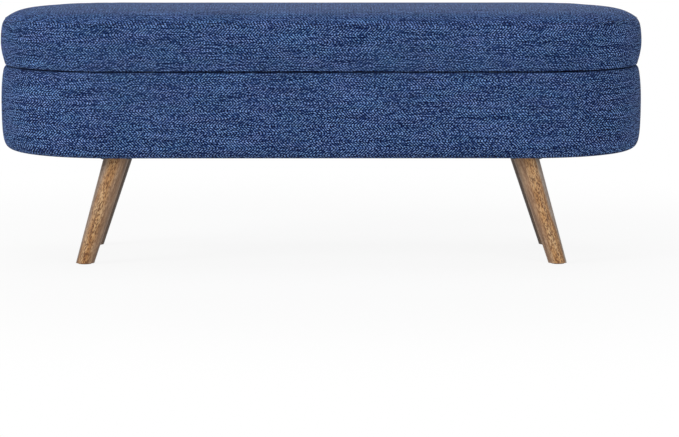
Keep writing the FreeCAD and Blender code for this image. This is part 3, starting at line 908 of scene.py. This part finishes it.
def screws(name, places, head, material):
    """Cross-headed screws. Each place is a centre and the way that its head faces. A head is its radius, how
    far its middle stands out, and how deep its cross is."""
    radius, rise, recess = head
    count = 17
    points, faces, slots = [], [], []
    for centre, facing in places:
        facing = Vector(facing)
        across = Vector((1, 0, 0))
        other = facing.cross(across)
        first = len(points)
        for i in range(count):
            for j in range(count):
                u, v = 2 * i / (count - 1) - 1, 2 * j / (count - 1) - 1
                a, b = u * math.sqrt(1 - v * v / 2), v * math.sqrt(1 - u * u / 2)
                edge = min(math.hypot(a, b), 1.0)
                height = rise * math.sqrt(max(1 - edge ** 4, 0))
                if min(abs(u), abs(v)) < 0.13 and max(abs(u), abs(v)) < 0.6:
                    height -= recess
                flat = Vector(centre) + across * (a * radius) + other * (b * radius)
                points.append(flat + facing * height)
        for i in range(count - 1):
            for j in range(count - 1):
                corner = first + i * count + j
                faces.append((corner, corner + count, corner + count + 1, corner + 1))
                # Faces in the cross take the near-black second material: painted shade.
                u, v = (2 * i + 1) / (count - 1) - 1, (2 * j + 1) / (count - 1) - 1
                slots.append(int(min(abs(u), abs(v)) < 0.19 and max(abs(u), abs(v)) < 0.66))
    return mesh_piece(name, points, faces, (material, painted_recess_shade), slots)


# Screw heads: radius, rise and depth of the cross
LEAF_HEAD = (3.0 * MM, 0.08 * MM, 0.05 * MM)
BRACKET_HEAD = (3.6 * MM, 1.7 * MM, 0.9 * MM)
PLATE_HEAD = (4.0 * MM, 1.9 * MM, 1.0 * MM)

# Where the screws are: in a leaf, at the middle of the wall and spread from the middle of the leaf; in a
# bracket, from its outer side and its ends; in a plate, from its centre
WALL_HALF = 6 * MM
LEAF_THICKNESS = 1.4 * MM
LEAF_HALF = 30 * MM
LEAF_SCREW_STEP = 19 * MM
BRACKET_THICKNESS = 2.5 * MM
WALL_SCREW_IN = 8.5 * MM
WALL_SCREW_HEIGHTS = (7.5 * MM, 28.5 * MM)
LID_SCREW_IN = 17.75 * MM
LID_SCREW_END = 8 * MM
PLATE_SCREW_OUT = 22 * MM

wall_middle = wall_radius - WALL_HALF
leaf_xs = [side * (hinge_x - LEAF_HALF + step) for side in (-1, 1)
           for step in (-LEAF_SCREW_STEP, 0.0, LEAF_SCREW_STEP)]
box_leaf_screws = screws("box_leaf_screws", [((x, wall_middle, box_top + LEAF_THICKNESS), (0, 0, 1))
                                             for x in leaf_xs], LEAF_HEAD, zinc)
lid_leaf_screws = screws("lid_leaf_screws", [((x, wall_middle, lid_bottom - LEAF_THICKNESS), (0, 0, -1))
                                             for x in leaf_xs], LEAF_HEAD, zinc)

wall_low, wall_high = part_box("stay_wall_brackets")
wall_bracket_screws = screws(
    "wall_bracket_screws",
    [((side * (wall_high.x - WALL_SCREW_IN), wall_high.y - BRACKET_THICKNESS, wall_low.z + up), (0, -1, 0))
     for side in (-1, 1) for up in WALL_SCREW_HEIGHTS], BRACKET_HEAD, zinc)
lid_low, lid_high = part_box("stay_lid_brackets")
lid_bracket_screws = screws(
    "lid_bracket_screws",
    [((side * (lid_high.x - LID_SCREW_IN), y, lid_bottom - BRACKET_THICKNESS), (0, 0, -1))
     for side in (-1, 1) for y in (lid_low.y + LID_SCREW_END, lid_high.y - LID_SCREW_END)],
    BRACKET_HEAD, zinc)
plate_screws = screws(
    "leg_plate_screws",
    [((sx * (plate_x + dx), sy * (plate_y + dy), plate_under), (0, 0, -1))
     for sx in (-1, 1) for sy in (-1, 1) for dx in (-PLATE_SCREW_OUT, PLATE_SCREW_OUT)
     for dy in (-PLATE_SCREW_OUT, PLATE_SCREW_OUT)], PLATE_HEAD, black_zinc)


def make_staples():
    """Staples that hold the dust cover, their crowns a little proud of it, with none at the plates."""
    shape = ((-5.0, 0.0), (-4.7, 0.34), (-3.9, 0.5), (3.9, 0.5), (4.7, 0.34), (5.0, 0.0))
    half_width, thickness = 0.6, 0.45
    plate_reach = PLATE_HALF + 7 * MM
    points, faces = [], []
    for flat, way in frame_along(oval_line(dust_radius - STAPLE_INSET), STAPLE_STEP):
        if abs(abs(flat[0]) - plate_x) < plate_reach and abs(abs(flat[1]) - plate_y) < plate_reach:
            continue
        out = outward_of(flat)
        first = len(points)
        for along, down in shape:
            for side in (-half_width, half_width):
                x = flat[0] + way[0] * along * MM + out.x * side * MM
                y = flat[1] + way[1] * along * MM + out.y * side * MM
                points.append((x, y, dust_bottom - down * MM))
                points.append((x, y, dust_bottom - max(down - thickness, -0.1) * MM))
        for k in range(len(shape) - 1):
            a = first + 4 * k
            faces += [(a, a + 4, a + 6, a + 2), (a + 1, a + 3, a + 7, a + 5), (a, a + 1, a + 5, a + 4),
                      (a + 2, a + 6, a + 7, a + 3)]
        last = first + 4 * (len(shape) - 1)
        faces += [(first, first + 2, first + 3, first + 1), (last, last + 1, last + 3, last + 2)]
    return mesh_piece("dust_cover_staples", points, faces, (zinc,))


staples = make_staples()
for piece in (band_stitches, lid_stitches, lid_leaf_screws, lid_bracket_screws):
    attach(piece, "lid")
for piece in (box_stitches, hem_stitches, box_leaf_screws, wall_bracket_screws, plate_screws, staples):
    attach(piece, "box")


# Materials of the frame's own nodes

NODE_MATERIALS = (
    (front_wood, ("front_legs",)),
    (back_wood, ("back_legs",)),
    (ply, ("front_panel", "back_panel", "left_end_panel", "right_end_panel", "bottom_panel", "lid_board")),
    (black_zinc, ("leg_plates",)),
    (zinc, ("hinge_box_leaves", "hinge_lid_leaves", "hinge_pins", "left_stay_bar", "right_stay_bar",
            "stay_wall_brackets", "stay_lid_brackets")),
    (rubber, ("lid_bumpers",)),
    (glide_plastic, ("foot_glides",)),
)
for material, names in NODE_MATERIALS:
    for name in names:
        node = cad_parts[name]
        node.data.materials.clear()
        node.data.materials.append(material)


# Stage, light and camera

def make_floor():
    """Pale floor that runs out to the horizon and keeps the object's shadow."""
    nodes = Nodes("floor_white")
    diffuse = nodes.add("ShaderNodeBsdfDiffuse")
    diffuse.inputs["Color"].default_value = (0.86, 0.86, 0.86, 1)
    glow = nodes.add("ShaderNodeEmission")
    glow.inputs["Color"].default_value = (1, 1, 1, 1)
    _, x, y, _ = nodes.place()
    away = nodes.math("SQRT", nodes.times(x, x, nodes.times(y, y)))
    share = nodes.remap(away, 0.6, 1.5, 0.89, 1.0, smooth=True)
    nodes.blend(nodes.times(nodes.seen(), share), diffuse, glow)
    corners = [(-60, -40, 0), (60, -40, 0), (60, 90, 0), (-60, 90, 0)]
    mesh_piece("floor", corners, [(0, 1, 2, 3)], (nodes.owner,))


def make_world():
    """Dim white light from all sides, and a plain white background where the camera looks."""
    nodes = Nodes("studio", "worlds", "ShaderNodeOutputWorld")
    ambient = nodes.add("ShaderNodeBackground")
    ambient.inputs["Strength"].default_value = 0.32
    white = nodes.add("ShaderNodeBackground")
    for background in (ambient, white):
        background.inputs["Color"].default_value = (1, 1, 1, 1)
    nodes.blend(nodes.seen(), ambient, white)
    bpy.context.scene.world = nodes.owner


def lamp(name, place, target, size, power):
    light = bpy.data.lights.new(name, "AREA")
    light.shape = "RECTANGLE"
    light.size, light.size_y = size
    light.energy = power
    piece = bpy.data.objects.new(name, light)
    piece.location = place
    piece.rotation_euler = (Vector(target) - Vector(place)).to_track_quat("-Z", "Y").to_euler()
    bpy.context.scene.collection.objects.link(piece)


def make_lamps():
    target = (0, 0, 0.25)
    lamp("key", (-4.2, -2.6, 2.2), target, (2.0, 1.6), 138)
    lamp("fill", (2.3, -4.1, 1.6), target, (2.4, 2.0), 80)
    lamp("top", (0, 0.4, 3.4), target, (3.0, 1.8), 26)
    lamp("back", (0.6, 3.6, 1.8), target, (3.0, 1.6), 40)


CAMERA_DISTANCE = 6.089
CAMERA_HEIGHT = 0.7642
CAMERA_PITCH = math.radians(6.58)
CAMERA_YAW = math.radians(0.296)
CAMERA_LENS = 186.95
CAMERA_SENSOR = 36


def make_camera():
    data = bpy.data.cameras.new("camera")
    data.lens = CAMERA_LENS
    data.sensor_width = CAMERA_SENSOR
    camera = bpy.data.objects.new("camera", data)
    camera.location = (0, -CAMERA_DISTANCE, CAMERA_HEIGHT)
    camera.rotation_euler = (math.pi / 2 - CAMERA_PITCH, 0, -CAMERA_YAW)
    bpy.context.scene.collection.objects.link(camera)
    bpy.context.scene.camera = camera


make_floor()
make_world()
make_lamps()
make_camera()
bpy.context.scene.view_settings.view_transform = "Standard"
